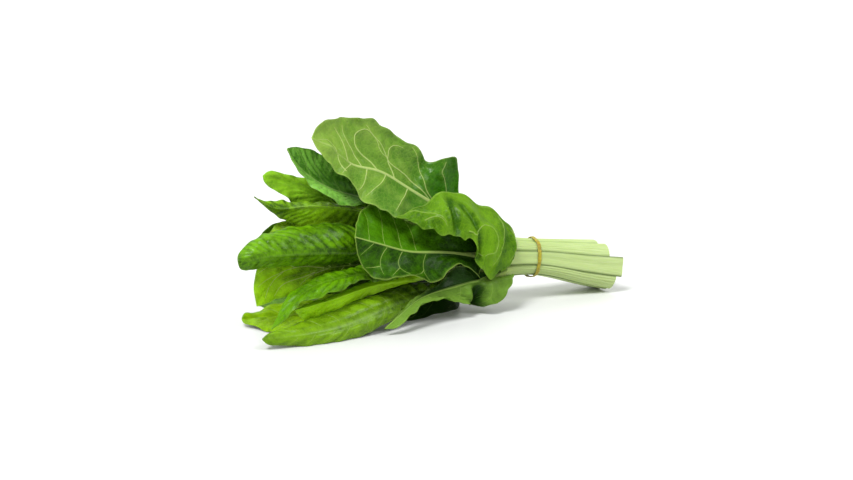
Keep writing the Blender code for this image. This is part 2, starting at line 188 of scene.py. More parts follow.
def trace(points):
    """A smooth curve through the points: places along it, their run, and the run at each point."""
    points = np.asarray(points, float)
    gaps = np.linalg.norm(np.diff(points, axis=0), axis=1) ** 0.7
    knots = np.concatenate([[0], np.cumsum(gaps)])
    fine = np.linspace(0, knots[-1], 600)
    place = spline(knots, points, fine)
    run = np.concatenate([[0], np.cumsum(np.linalg.norm(np.diff(place, axis=0), axis=1))])
    return place, run, np.interp(knots, fine, run)


def read(place, run, at):
    """The curve's places at the runs `at`."""
    return np.stack([np.interp(at, run, place[:, k]) for k in range(3)], axis=1)


def stalk_place(leaf, x):
    """Where a leaf's stalk lies at x: a polar place round the bunch's centre line."""
    out = RING_RADIUS[leaf["ring"]] * np.interp(x, BUNCH_X, BUNCH_SPREAD)
    if leaf["face_out"]:
        out += FACE_OUT_SHIFT[leaf["ring"]]
    turn = np.radians(leaf["turn"])
    y = np.interp(x, BUNCH_X, BUNCH_Y) - out * np.sin(turn)
    z = np.interp(x, BUNCH_X, BUNCH_Z) + out * np.cos(turn)
    return (x, y, z)


def trace_leaf(leaf):
    """The leaf with its spine and its two margins traced as smooth curves."""
    stalk = [stalk_place(leaf, x) for x in (leaf["cut"],) + STALK_STATIONS]
    place, run, knot_run = trace(stalk + leaf["midrib"])
    traced = dict(leaf, place=place, run=run, heading=np.gradient(place, run, axis=0))
    traced["base"] = knot_run[len(stalk)]
    for side in ("right", "left"):
        traced[side + "_margin"] = trace([leaf["midrib"][0]] + leaf[side] + [leaf["midrib"][-1]])[:2]
    return traced


def rib_size(leaf, at, sizes):
    """A measure of the stalk and rib at the runs `at`: straight lines between the five stations.

    The stalks are a little fuller than their plain solids, so that they press against each other, and
    fullest at the neck: 1 + 0.46 ease(d / 30) + 0.5 exp(-((12 - d) / 22)^2), d before the blade.
    """
    base = leaf["base"]
    blade = np.clip((at - base) / (leaf["run"][-1] - base), 0, 1)
    where = np.where(at < base, at / base, 1 + blade)
    neck = NECK_FULLNESS * np.exp(-(((at - base + 12) / 22) ** 2))
    full = 1 + STALK_FULLNESS * ease((base - at) / 30) + neck
    return RING_STALK[leaf["ring"]] * full * np.interp(where, RIB_AT, sizes)


def along_blade(values, side, blade):
    """A profile, read at shares of the blade: straight lines between evenly spaced values."""
    values = np.atleast_1d(values[side] if isinstance(values, dict) else values)
    return np.interp(blade, np.linspace(0, 1, len(values)), values)


def half_blade(leaf, side, at, share):
    """Places on one half of a leaf, for runs `at` and shares q of the way from rib to margin.

    A row runs straight from rib to margin and is lifted off that line: it arches as 4 q (1 - q), its
    margin's waves lift it as q^2 and its small ruffles as q^4, which also push it out and in as q^4.
    A pleat runs aslant from rib to margin: height exp(-(p / reach)^2) ease(2 q) (1 - 0.6 q^6), where
    p is the share of the blade past it, with one reach before it and another one after it.
    """
    sign = 1 if side == "right" else -1
    end = leaf["run"][-1]
    blade = np.clip((at - leaf["base"]) / (end - leaf["base"]), 0, 1)
    mid = read(leaf["place"], leaf["run"], at)
    knob, knobs = leaf["knobs"]
    mid[:, 2] += knob * np.sin(2 * np.pi * knobs * blade) * ease(blade / 0.1) * ease((1 - blade) / 0.1)
    along = unit(read(leaf["heading"], leaf["run"], at))
    face = np.radians(leaf["turn"] + (0 if leaf["face_out"] else 180))
    stalk_side = unit(np.cross(along, (0, -np.sin(face), np.cos(face))))
    rib = rib_size(leaf, at, RIB_HALF_WIDTH)
    margin, run = leaf[side + "_margin"]
    chord = np.where((at > leaf["base"])[:, None], read(margin, run, blade * run[-1]) - mid, 0)
    width = np.sqrt((chord**2).sum(1) + (rib * (1 - blade)) ** 2 + TIP_HALF_WIDTH**2)
    lean = ease(blade / 0.16)[:, None]
    out = unit((1 - lean) * sign * stalk_side + lean * unit(chord)) * width[:, None]
    lift = unit(np.cross(out, along)) * sign
    arch = along_blade(leaf["bulge"], side, blade) * ease(blade / 0.1) * width
    fade = ease(blade / 0.12) * ease((1 - blade) / 0.12)
    height, count, start = leaf["waves"].get(side, (0, 0, 0))
    wave = height * np.sin(2 * np.pi * (count * blade + start)) * fade
    turn = leaf["turn"]
    crimp = fade * leaf["crimp"]
    ruffle = crimp * (0.7 * np.sin(46 * blade + 3 * sign + turn) + 0.5 * np.sin(81 * blade + turn))
    frill = 0.01 * crimp * (np.sin(58 * blade + turn) + np.sin(97 * blade + 2 * turn) * 0.7)
    q = share
    rise = 4 * q * (1 - q) * arch[:, None] + wave[:, None] * q**2 + ruffle[:, None] * q**4
    for pleat_side, start, finish, steep, gentle, depth in leaf["pleats"]:
        if pleat_side == side:
            past = blade[:, None] - (start + (finish - start) * q)
            bend = np.exp(-((past / np.where(past > 0, gentle, steep)) ** 2))
            rise = rise + depth * bend * ease(q / 0.5) * (1 - 0.6 * q**6)
    reach = q * (1 + frill[:, None] * q**3)
    return mid[:, None] + reach[..., None] * out[:, None] + rise[..., None] * lift[:, None], width


def ordinary_veins(leaf, rng):
    """Side veins and the links between them: (share along the blade, share across), left negative.

    A side vein leaves the rib at a slant and swings towards the tip near the margin, where it joins
    the next one: across = reach (1 - (1 - t)^2.2), along = start + slope across + gap t^3. Links run
    from one side vein to the next, crooked.
    """
    count = leaf["side_veins"]
    length = leaf["run"][-1] - leaf["base"]
    sides, links = [], []
    for side, sign in (("right", 1), ("left", -1)):
        shift = 0.0 if side == "right" else 0.35
        starts = (np.arange(count) + 0.55 + shift + rng.uniform(-0.15, 0.15, count)) / (count + 0.9) * 0.93
        width = half_blade(leaf, side, leaf["base"] + starts * length, np.zeros((count, 1)))[1]
        slope = width / length * rng.uniform(0.45, 0.85, count)
        gap = np.append(np.diff(starts), 0.08) * rng.uniform(0.75, 1.0, count)
        reach = rng.uniform(0.80, 0.93, count)
        t = np.linspace(0, 1, VEIN_STEPS)[None]
        across = reach[:, None] * (1 - (1 - t) ** 2.2)
        along = starts[:, None] + slope[:, None] * across + gap[:, None] * t**3
        along += 0.008 * np.sin(8 * t + rng.uniform(0, 6, (count, 1))) * t
        veins = np.stack([np.clip(along, 0, 0.985), across], axis=-1)
        for k in range(count - 1):
            for place in LINK_PLACES:
                one = veins[k, int((place + rng.uniform(-0.05, 0.05)) * VEIN_STEPS)]
                two = veins[k + 1, int((place * 0.86 + rng.uniform(-0.08, 0.06)) * VEIN_STEPS)]
                s = np.linspace(0, 1, LINK_STEPS)[:, None]
                crook = rng.uniform(-0.07, 0.07) * np.sin(np.pi * s)
                crook = crook + rng.uniform(-0.05, 0.05) * np.sin(2 * np.pi * s)
                links.append((one + s * (two - one) + crook * (0.15, 1)) * (1, sign))
        sides.append(veins * (1, sign))
    return np.concatenate(sides), np.array(links)


def smooth_paths(paths):
    """The given points of each vein, in thousandths, joined by a smooth curve of VEIN_STEPS places."""
    joined = []
    for path in paths:
        points = np.array(path) / 1000
        gaps = np.linalg.norm(np.diff(points, axis=0) * (1, 0.35), axis=1) ** 0.7
        knots = np.concatenate([[0], np.cumsum(gaps)])
        joined.append(spline(knots, points, np.linspace(0, knots[-1], VEIN_STEPS)))
    return np.array(joined)


def vein_bodies(sample, paths, widths, back_height, front_height):
    """Raised veins as closed threads through the blade, and which of their places are at the front.

    Each thread has an eight-sided section round the vein's path: high and round at the back of the
    leaf, nearly flush at its front. It gets lower with the root of its width.
    """
    count, steps, _ = paths.shape
    middle, normal = sample(paths[..., 0], paths[..., 1])
    heading = unit(np.gradient(middle, axis=1))
    beside = unit(np.cross(normal, heading))
    section = np.array(((1.0, 0.0, 0), (0.5, front_height * 0.7, 1), (0.0, front_height, 1),
                        (-0.5, front_height * 0.7, 1), (-1.0, 0.0, 0), (-0.62, -back_height * 0.72, -1),
                        (0.0, -back_height, -1), (0.62, -back_height * 0.72, -1)))
    scale = np.sqrt(widths / widths.max())[..., None]
    level = section[:, 1] * scale + section[:, 2] * SHEET / 2
    ring = (middle[:, :, None] + beside[:, :, None] * (section[:, 0] * widths[..., None] / 2)[..., None]
            + normal[:, :, None] * level[..., None])
    at = np.arange(count * steps * len(section)).reshape(count, steps, -1)
    turned = np.roll(at, -1, axis=2)
    walls = np.stack([at[:, :-1], turned[:, :-1], turned[:, 1:], at[:, 1:]], axis=-1).reshape(-1, 4)
    caps = np.concatenate([at[:, 0][:, ::-1], at[:, -1]])
    front = np.broadcast_to((section[:, 2] > 0) * 1.0, at.shape)
    return ring.reshape(-1, 3), walls, caps, front.ravel()


def add_node(tree, kind, values, **settings):
    """A new shader node with these settings, its inputs fed with the values: gives its outputs."""
    node = tree.nodes.new("ShaderNode" + kind)
    for name, setting in settings.items():
        setattr(node, name, setting)
    feed(tree, node, values)
    return node.outputs


def skin_group():
    """Node group for leaf skin: front and back greens, veins, margin, stalk and cut end.

    It reads the leaf's own attributes and its map, in centimetres along and across the leaf, and
    puts out a colour, a roughness and a height. Clouds 24 mm wide and patches 8 mm wide shift the
    green; two nets of small veins, 4 and 1.3 mm wide, lighten it; fibres run along rib and stalk.
    """
    group = bpy.data.node_groups.new("leaf skin", "ShaderNodeTree")
    for name in ("Front Dark", "Front Light", "Back Dark", "Back Light", "Vein", "Stalk"):
        group.interface.new_socket(name, in_out="INPUT", socket_type="NodeSocketColor")
    for name, kind in (("Colour", "Color"), ("Roughness", "Float"), ("Height", "Float")):
        group.interface.new_socket(name, in_out="OUTPUT", socket_type="NodeSocket" + kind)
    given = group.nodes.new("NodeGroupInput").outputs
    sink = group.nodes.new("NodeGroupOutput")

    def math(operation, *values):
        """Plain arithmetic; a MULTIPLY_ADD is also kept between 0 and 1."""
        return add_node(group, "Math", dict(enumerate(values)), operation=operation,
                        use_clamp=operation == "MULTIPLY_ADD")[0]

    def step(value, low, high):
        return add_node(group, "MapRange", {"Value": value, "From Min": low, "From Max": high},
                        interpolation_type="SMOOTHSTEP")["Result"]

    def mix(share, one, two):
        """Colour `one` where the share is 0 and `two` where it is 1: the node's colour sockets."""
        return add_node(group, "Mix", {0: share, 6: one, 7: two}, data_type="RGBA")[2]

    def noise(vector, scale, detail):
        return add_node(group, "TexNoise", {"Vector": vector, "Scale": scale, "Detail": detail})["Fac"]

    def net(scale):
        return add_node(group, "TexVoronoi", {"Vector": chart, "Scale": scale}, voronoi_dimensions="2D",
                        feature="DISTANCE_TO_EDGE")["Distance"]

    is_front, halo, margin, stalk, pale, cut_end, leaf_tone = (
        add_node(group, "Attribute", {}, attribute_name=name)["Fac"]
        for name in ("front", "halo", "margin", "stalk", "pale", "cut_end", "tone"))
    space = add_node(group, "TexCoord", {})["Object"]
    chart = add_node(group, "UVMap", {}, uv_map="leaf")["UV"]
    stretched = add_node(group, "Mapping", {"Vector": chart, "Scale": (0.25, 14, 1)})["Vector"]
    fibres = noise(stretched, 1.6, 4)

    clouds = math("SUBTRACT", noise(space, 42, 3), 0.5)
    mottle = noise(space, 230, 3)
    coarse_net = net(2.6)
    fine_net = net(7.5)
    coarse_line = math("SUBTRACT", 1, step(coarse_net, 0.0, 0.09))
    fine_line = math("SUBTRACT", 1, step(fine_net, 0.0, 0.12))
    patches = math("MULTIPLY", math("SUBTRACT", noise(space, 130, 2), 0.5), is_front)
    # The tone attribute sets where the green lies between its dark and light colours: the leaf's own
    # clouds, patches and profile, with painted shade and painted light laid into the profile.
    tone = math("ADD", math("MULTIPLY", clouds, 0.9), leaf_tone)
    tone = math("MULTIPLY_ADD", patches, 1.6, tone)

    front = mix(tone, given["Front Dark"], given["Front Light"])
    back = mix(tone, given["Back Dark"], given["Back Light"])
    green = mix(is_front, back, front)
    glow = mix(is_front, given["Back Light"], given["Front Light"])
    # Painted shade dims the marks too: where the leaf's profile is dark, the halo, mottle and vein nets
    # lighten the green less.
    lit = step(leaf_tone, -0.5, 0.4)
    for mask, strength in ((halo, 0.4), (mottle, 0.25), (coarse_line, 0.35), (fine_line, 0.2)):
        green = mix(math("MULTIPLY", math("MULTIPLY", mask, strength), lit), green, glow)
    # The pale line along the margin: partly the margin's own paler green, partly a painted rim highlight.
    green = mix(math("MULTIPLY", margin, 0.12), green, given["Vein"])
    smooth_stalk = mix(step(stalk, -0.15, 0.28), given["Vein"], given["Stalk"])
    streaks = mix(step(fibres, 0.35, 0.7), smooth_stalk, (0.50, 0.60, 0.29, 1))
    colour = mix(pale, green, mix(stalk, smooth_stalk, streaks))
    flesh = mix(step(noise(space, 900, 2), 0.35, 0.7), (0.55, 0.62, 0.33, 1), (0.40, 0.50, 0.20, 1))
    colour = mix(cut_end, colour, flesh)
    relief = math("MULTIPLY", step(coarse_net, 0.0, 0.35), 0.7)
    relief = math("ADD", relief, math("MULTIPLY", step(fine_net, 0.0, 0.4), 0.3))
    grooves = math("MULTIPLY", math("MULTIPLY", fibres, 0.9), pale)
    height = math("ADD", math("MULTIPLY", relief, math("SUBTRACT", 1, pale)), grooves)
    shine = math("MULTIPLY_ADD", mottle, 0.25, 0.27)
    feed(group, sink, {"Colour": colour, "Roughness": shine, "Height": height})
    return group


SKIN = skin_group()


def greens(*others, **own):
    """Colours by the skin group's inputs: other leaves' first, and this leaf's own in their place.

    Its own are given in thousandths of full red, green and blue.
    """
    named = {key.replace("_", " ").title(): (*np.array(colour) / 1000, 1) for key, colour in own.items()}
    return dict(*others, **named)


PALE_GREEN = greens(vein=(330, 450, 90), stalk=(380, 490, 180))
MID_GREEN = greens(front_dark=(25, 100, 1), front_light=(85, 225, 2), back_dark=(40, 120, 6),
                   back_light=(120, 240, 20))
DARK_GREEN = greens(front_dark=(20, 80, 2), front_light=(80, 200, 4), back_dark=(30, 100, 8),
                    back_light=(90, 180, 20))
BRIGHT_GREEN = greens(front_dark=(30, 120, 1), front_light=(150, 300, 5), back_dark=(40, 130, 3),
                      back_light=(160, 290, 15))


def leaf_material(name, colours, gloss):
    """A leaf's own material: the skin group's colour, roughness and relief in one shader."""
    made, tree, shader = new_material(name)
    skin = add_node(tree, "Group", {**PALE_GREEN, **colours}, node_tree=SKIN)
    bump = add_node(tree, "Bump", {"Strength": 0.7, "Distance": BUMP_DEPTH * MM, "Height": skin["Height"]})
    feed(tree, shader, {
        "Base Color": skin["Colour"], "Roughness": skin["Roughness"], "Normal": bump["Normal"],
        "Specular IOR Level": 0.02, "Coat Weight": gloss, "Coat Roughness": 0.26,
        "Subsurface Weight": 0.15, "Subsurface Radius": (0.6, 1.0, 0.15), "Subsurface Scale": 1.0 * MM})
    return made


# What a leaf has unless its own section says otherwise. A profile runs from the base of the blade to
# its tip: one number, or values for both halves alike, or for each half. Places on the blade are
# shares of its length, and of the way from rib to margin, which are below 0 on the left half; those
# of listed veins are in thousandths.
ORDINARY_LEAF = dict(
    face_out=False,  # whether the leaf turns its front, not its back, outwards
    rows=110,  # rows of facets along the blade
    bulge=0.0,  # profile of a half's arch towards its front, in widths
    waves={},  # on a half's margin: height, number, start
    crimp=1.0,  # size of the small ruffles along the margin
    knobs=(0, 0),  # the rib's own waves: height, number
    pleats=(),  # half, place at rib and at margin, reach before and after, height
    soft_rib=0,  # how often the fold along the rib is rounded off
    wrinkles=(8, 0.25),  # spacing, height
    blister=1.0,  # height of the blisters between the veins
    cushions=(),  # place along and across, reach in millimetres, height
    side_veins=8,  # on each half, where the section lists no veins
    vein_width=1.6,  # of listed veins
    vein_back=0.8,  # how pale the veins are at the back
    vein_front=0.35,  # and at the front
    rib_bare=6,  # strip beside the rib without relief
    rib_back=0.45,  # share of the rib's width that is pale
    rib_front=0.55,  # how pale it is at the front
    rib_show=1,  # and at the back
    rib_end=2,  # place past which it fades at the back
    # The margin line is partly the margin's own paler green, partly a painted rim highlight.
    edge=1,  # strength of the pale line along the margin
    # The green profile is partly the leaf's own green and partly painted: shade near bases, in hollows and
    # under other leaves, and light on parts that lie in their shade.
    tone=(0.3, 0.5, 0.6),  # profile of the green, from dark, 0, to light, 1
    gloss=0.15,  # weight of the clear coat
)
stalks = []


def grow_leaf(node, colours, seed, **shape):
    """Builds a leaf's skin in place of its plain solid, and keeps its stalk's outline for the band.

    The front face is the sheet moved out along its normal by half its thickness and the rib, the
    back face the same the other way. Relief is added to the sheet, and fades at the rib, the ends and
    the margin. Blisters between the veins: blister (1 - exp(-(d / 4.5)^2)), where d is the distance
    to the nearest vein. Wrinkles: height |sin(pi w / spacing)|^0.8, where w wanders a little and is
    the run less 0.5 of the way across, or in some parts 0.8 of the run less 1.1 of the way across.
    Four crossing rows of small waves, 0.08 blister high. A cushion: height exp(-(distance / reach)^2).
    The hollows of wrinkles and pleats are darkened, and the crests of wrinkles lightened, in the colour:
    painted shade and light, added to the leaf's green profile.
    """
    leaf = trace_leaf({**ORDINARY_LEAF, **shape})
    rng = np.random.default_rng(seed)
    base, end = leaf["base"], leaf["run"][-1]
    steps = np.linspace(0, 1, leaf["rows"] + 1)
    blade_share = 0.5 * steps + 0.25 * (1 - np.cos(np.pi * steps))
    at = np.concatenate([np.linspace(0, base, STALK_ROWS + 1)[:-1], base + blade_share * (end - base)])
    blade = np.clip((at - base) / (end - base), 0, 1)
    rib = rib_size(leaf, at, RIB_HALF_WIDTH)
    column = np.arange(SIDE_COLUMNS + 1)
    halves, inner_shares = [], []
    for side, sign in (("left", -1), ("right", 1)):
        width = half_blade(leaf, side, at, np.zeros((len(at), 1)))[1][:, None]
        inner = np.minimum(rib[:, None], width * RIB_COLUMNS / SIDE_COLUMNS)
        out = inner + (width - inner) * (column - RIB_COLUMNS) / (SIDE_COLUMNS - RIB_COLUMNS)
        distance = np.where(column <= RIB_COLUMNS, inner * column / RIB_COLUMNS, out)
        half = [half_blade(leaf, side, at, distance / width)[0], sign * distance, width - distance]
        halves.append([part[:, :0:-1] if sign < 0 else part for part in half])
        inner_shares.append((inner / width)[:, 0])
    sheet, across, to_margin = (np.concatenate(pair, axis=1) for pair in zip(*halves))
    soft = np.exp(-((across / SOFT_REACH) ** 2))[:, 1:-1, None] * 0.5 * ease(blade / 0.15)[:, None, None]
    for _ in range(leaf["soft_rib"]):
        sheet[:, 1:-1] += soft * ((sheet[:, 2:] + sheet[:, :-2]) / 2 - sheet[:, 1:-1])

    row_number = np.arange(len(at))

    def sample(along, share, *grids):
        """Places and normals of the sheet, or the grids given, at shares along the blade and across."""
        row = np.interp(base + np.clip(along, 0, 1) * (end - base), at, row_number)
        left, right = (np.interp(row, row_number, shares) for shares in inner_shares)
        inner = np.where(share > 0, right, left)
        q = np.abs(share)
        step = np.where(q < inner, RIB_COLUMNS * q / inner,
                        RIB_COLUMNS + (SIDE_COLUMNS - RIB_COLUMNS) * (q - inner) / (1 - inner))
        place = np.clip(SIDE_COLUMNS + np.sign(share) * step, 0, 2 * SIDE_COLUMNS)
        i = np.minimum(row.astype(int), len(at) - 2)
        j = np.minimum(place.astype(int), 2 * SIDE_COLUMNS - 1)
        a, b = (row - i)[..., None], (place - j)[..., None]
        return [(1 - a) * ((1 - b) * grid[i, j] + b * grid[i, j + 1])
                + a * ((1 - b) * grid[i + 1, j] + b * grid[i + 1, j + 1])
                for grid in grids or (sheet, normal)]

    normal = unit(np.cross(np.gradient(sheet, axis=1), np.gradient(sheet, axis=0)))
    # a group of veins: paths, widths at start and end, height, how pale at the back and at the front
    back_pale, front_pale = leaf["vein_back"], leaf["vein_front"]
    if "veins" in leaf:
        groups = [(smooth_paths(leaf["veins"]), leaf["vein_width"], 0.5, 0.4, back_pale, front_pale)]
    else:
        veins, links = ordinary_veins(leaf, rng)
        groups = [(veins, 1.5, 0.5, 0.4 * min(1, back_pale + 0.4), back_pale, front_pale),
                  (links, 0.5, 0.4, 0.14, 0.4 * back_pale, 0.4 * front_pale)]
    lines = np.concatenate([sample(paths[..., 0], paths[..., 1])[0].reshape(-1, 3) for paths, *_ in groups])
    nearest = [np.sqrt(((chunk[:, None] - lines[None]) ** 2).sum(2).min(1))
               for chunk in np.array_split(sheet.reshape(-1, 3), CHUNKS)]
    nearest = np.concatenate(nearest).reshape(across.shape)
    blade_fade = (ease(blade / 0.08) * ease((1 - blade) / 0.1))[:, None]
    rib_fade = ease((np.abs(across) - rib[:, None]) / leaf["rib_bare"])
    blister = leaf["blister"]
    relief = blister * (1 - np.exp(-((nearest / BLISTER_REACH) ** 2))) * ease(to_margin / 7)
    run = at[:, None]
    spacing, height = leaf["wrinkles"]
    wander = 3.2 * np.sin(0.05 * run + 0.1 * across + seed)
    wander = wander + 2 * np.sin(0.13 * run - 0.15 * across + 2 * seed)
    fold = np.abs(np.sin(np.pi * (run - 0.5 * np.abs(across) + wander) / spacing)) ** 0.8
    other = np.abs(np.sin(np.pi * (0.8 * run - 1.1 * np.abs(across) - wander) / spacing)) ** 0.8
    part = ease(0.5 + 0.8 * np.sin(0.07 * run - 0.16 * across + 2 * seed))
    fold = (fold + part * (other - fold)) * (0.65 + 0.35 * np.sin(0.09 * run + 0.2 * across + seed))
    relief = relief + height * fold * ease(to_margin / 3)
    share = np.abs(across) / (np.abs(across) + to_margin)
    # Painted shade and light: wrinkle hollows are darker and their crests lighter, and pleat hollows are
    # darker.
    painted_crease_shading = CREASE_SHADE * min(height, 1.5) * (fold - 0.35) * blade_fade * rib_fade
    for side, start, finish, steep, gentle, depth in leaf["pleats"]:
        past = blade[:, None] - (start + (finish - start) * share)
        shade = np.exp(-((past / (0.6 * (steep + gentle))) ** 2)) * ease(share / 0.3) * max(depth, 0) / 7
        painted_crease_shading = painted_crease_shading - np.where((across > 0) == (side == "right"), shade, 0)
    for turn, rate in zip(rng.uniform(0, np.pi, len(PUCKER_RATES)), PUCKER_RATES):
        phase = rng.uniform(0, 6) + np.sin(0.11 * run + across * 0.07)
        pucker = np.sin(rate * (run * np.cos(turn) + across * np.sin(turn)) + phase)
        relief = relief + PUCKER_HEIGHT * blister * pucker
    relief = relief * blade_fade * rib_fade
    for along, aside, reach, height in leaf["cushions"]:
        ahead = (blade[:, None] - along) * (end - base)
        beside = (np.sign(across) * share - aside) * (np.abs(across) + to_margin)
        relief = relief + height * np.exp(-((ahead**2 + beside**2) / reach**2))
    sheet = sheet + normal * relief[..., None]
    normal = unit(np.cross(np.gradient(sheet, axis=1), np.gradient(sheet, axis=0)))
    sheet[..., 2] = np.maximum(sheet[..., 2], SHEET / 2)

    x = across / rib[:, None]
    ridge = np.clip(1 - x**2, 0, 1) ** (0.5 + 0.7 * ease(blade / 0.2))[:, None]
    on_stalk = ease((base + 0.15 * (end - base) - at) / 30)[:, None]
    ribbing = RING_STALK[leaf["ring"]] * RIDGE_HEIGHT * np.cos(2 * np.pi * STALK_RIDGES * x)
    ribbing = ribbing * ridge * on_stalk
    channel = 1 - 0.45 * on_stalk * np.exp(-((x / 0.45) ** 2))
    front_rib = rib_size(leaf, at, RIB_FRONT)[:, None] * ridge * channel
    back_rib = rib_size(leaf, at, RIB_BACK)[:, None] * ridge - ribbing
    half_sheet = SHEET / 2 * (1 - 0.4 * share**8 * np.clip(blade * 8, 0, 1)[:, None])
    upper = sheet + normal * (half_sheet + front_rib)[..., None]
    lower = sheet - normal * (half_sheet + back_rib)[..., None]
    steps = (np.arange(1, CUT_ROWS + 1) / (CUT_ROWS + 1))[:, None, None]
    hollow = CUT_HOLLOW * np.sin(np.pi * steps) * (1 - share[0] ** 2)[None, :, None]
    cut = upper[0] + steps * (lower[0] - upper[0]) + unit(leaf["heading"][0]) * hollow

    rows, columns = across.shape
    top = np.arange(rows * columns).reshape(rows, columns)
    under = top + top.size
    inside = np.arange(CUT_ROWS * columns).reshape(CUT_ROWS, -1) + 2 * top.size
    cap = np.concatenate([top[:1], inside, under[:1]])
    faces = [grid_quads(top), grid_quads(under)[:, ::-1], grid_quads(cap)[:, ::-1]]
    for rim in ((top[:, 0], under[:, 0]), (top[::-1, -1], under[::-1, -1]), (top[-1], under[-1])):
        faces.append(grid_quads(np.stack(rim)))
    caps = [cap[:, 0].tolist(), cap[::-1, -1].tolist()]
    vertices = [upper.reshape(-1, 3), lower.reshape(-1, 3), cut.reshape(-1, 3)]

    narrow = np.where(blade > 0, 1 - (1 - leaf["rib_back"]) * ease(blade / 0.2), 1)[:, None]
    pale_back = ease((1.12 * (narrow * 0.8 + 0.2) - np.abs(x)) / (0.4 * narrow))
    fading = 1 - (1 - leaf["rib_front"]) * ease(blade / 0.15)
    pale_back = pale_back * (1 - (1 - leaf["rib_show"]) * ease(blade / 0.1))[:, None]
    pale_back = pale_back * (1 - 0.75 * ease((blade - leaf["rib_end"]) / 0.08))[:, None]
    pale_front = ease((1.12 * narrow - np.abs(x)) / (0.4 * narrow)) * fading[:, None]
    # The pale line along the margin: the margin's own paler green, made stronger on some leaves as a
    # painted rim highlight.
    margin = leaf["edge"] * np.exp(-((to_margin / EDGE_REACH) ** 2)) * np.clip(blade * 20, 0, 1)[:, None]
    # The green along the blade with the crease shading: painted shade and light laid into the leaf's own
    # green.
    left_tone, right_tone = (along_blade(leaf["tone"], side, blade)[:, None] for side in ("left", "right"))
    greenness_with_painted_shading = np.where(across < 0, left_tone, right_tone) + painted_crease_shading
    halo = np.exp(-((nearest / HALO_REACH) ** 2)) * blade_fade
    stalk = np.clip(1 - at / base, 0, 1)[:, None]
    layers = {}
    for key, on_front, on_back, on_cut in (
            ("front", 1, 0, 1), ("pale", pale_front, pale_back, 1), ("halo", halo, halo, 0),
            ("margin", margin, margin, 0), ("stalk", stalk, stalk, 1), ("tone", greenness_with_painted_shading, greenness_with_painted_shading, 0),
            ("cut_end", 0, 0, 1)):
        layers[key] = [np.broadcast_to(part, across.shape).ravel() for part in (on_front, on_back)]
        layers[key].append(np.full(CUT_ROWS * columns, on_cut))
    chart = [np.stack([np.broadcast_to(run, across.shape), across], axis=-1).reshape(-1, 2) / 10] * 2
    chart.append(np.zeros((CUT_ROWS * columns, 2)))
    total = sum(len(part) for part in vertices)
    for paths, thick, thin, height, back_pale, front_pale in groups:
        t = np.linspace(0, 1, paths.shape[1])[None]
        widths = np.broadcast_to(thick + (thin - thick) * t**0.7, paths.shape[:2])
        widths = widths * np.linspace(1.0, 0.7, len(paths))[:, None]
        ring, walls, ends, front = vein_bodies(sample, paths, widths, height, height * 0.25)
        vertices.append(ring)
        faces.append(walls + total)
        caps += (ends + total).tolist()
        total += len(ring)
        layers["front"].append(front)
        # Veins take on the painted shade and light of the blade under them, and are less pale in its
        # painted shade.
        local_green_and_shading = np.repeat(sample(paths[..., 0], paths[..., 1], greenness_with_painted_shading[..., None])[0].ravel(), 8)
        layers["pale"].append(np.where(front > 0, front_pale, back_pale) * np.clip(local_green_and_shading + 0.85, 0.1, 1))
        for key in ("halo", "margin", "stalk", "cut_end"):
            layers[key].append(np.zeros(len(ring)))
        layers["tone"].append(local_green_and_shading + 0.1)
        chart.append(ring[:, :2] / 10)
    vertices = np.concatenate(vertices)
    vertices[:, 2] = np.maximum(vertices[:, 2], 0)
    mesh = bpy.data.meshes.new("chard_" + node)
    mesh.from_pydata(((vertices - MIDDLE) * MM).tolist(), [], np.concatenate(faces).tolist() + caps)
    for key, parts in layers.items():
        layer = mesh.attributes.new(key, "FLOAT", "POINT")
        layer.data.foreach_set("value", np.concatenate(parts).astype(np.float32))
    corner = np.empty(len(mesh.loops), np.int32)
    mesh.loops.foreach_get("vertex_index", corner)
    leaf_map = mesh.uv_layers.new(name="leaf")
    leaf_map.data.foreach_set("uv", np.concatenate(chart)[corner].astype(np.float32).ravel())
    mesh.shade_smooth()
    mesh.set_sharp_from_angle(angle=SHARP_ANGLE)
    mesh.materials.append(leaf_material("chard_" + node, colours, leaf["gloss"]))
    piece = add("chard_" + node, mesh)
    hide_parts(node)
    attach(piece, "root")
    stalks.append(np.concatenate([upper[:STALK_ROWS], lower[:STALK_ROWS]], axis=1))


def grid_quads(grid):
    """Four-cornered faces of a grid of vertex numbers."""
    return np.stack([grid[:-1, :-1], grid[:-1, 1:], grid[1:, 1:], grid[1:, :-1]], axis=-1).reshape(-1, 4)


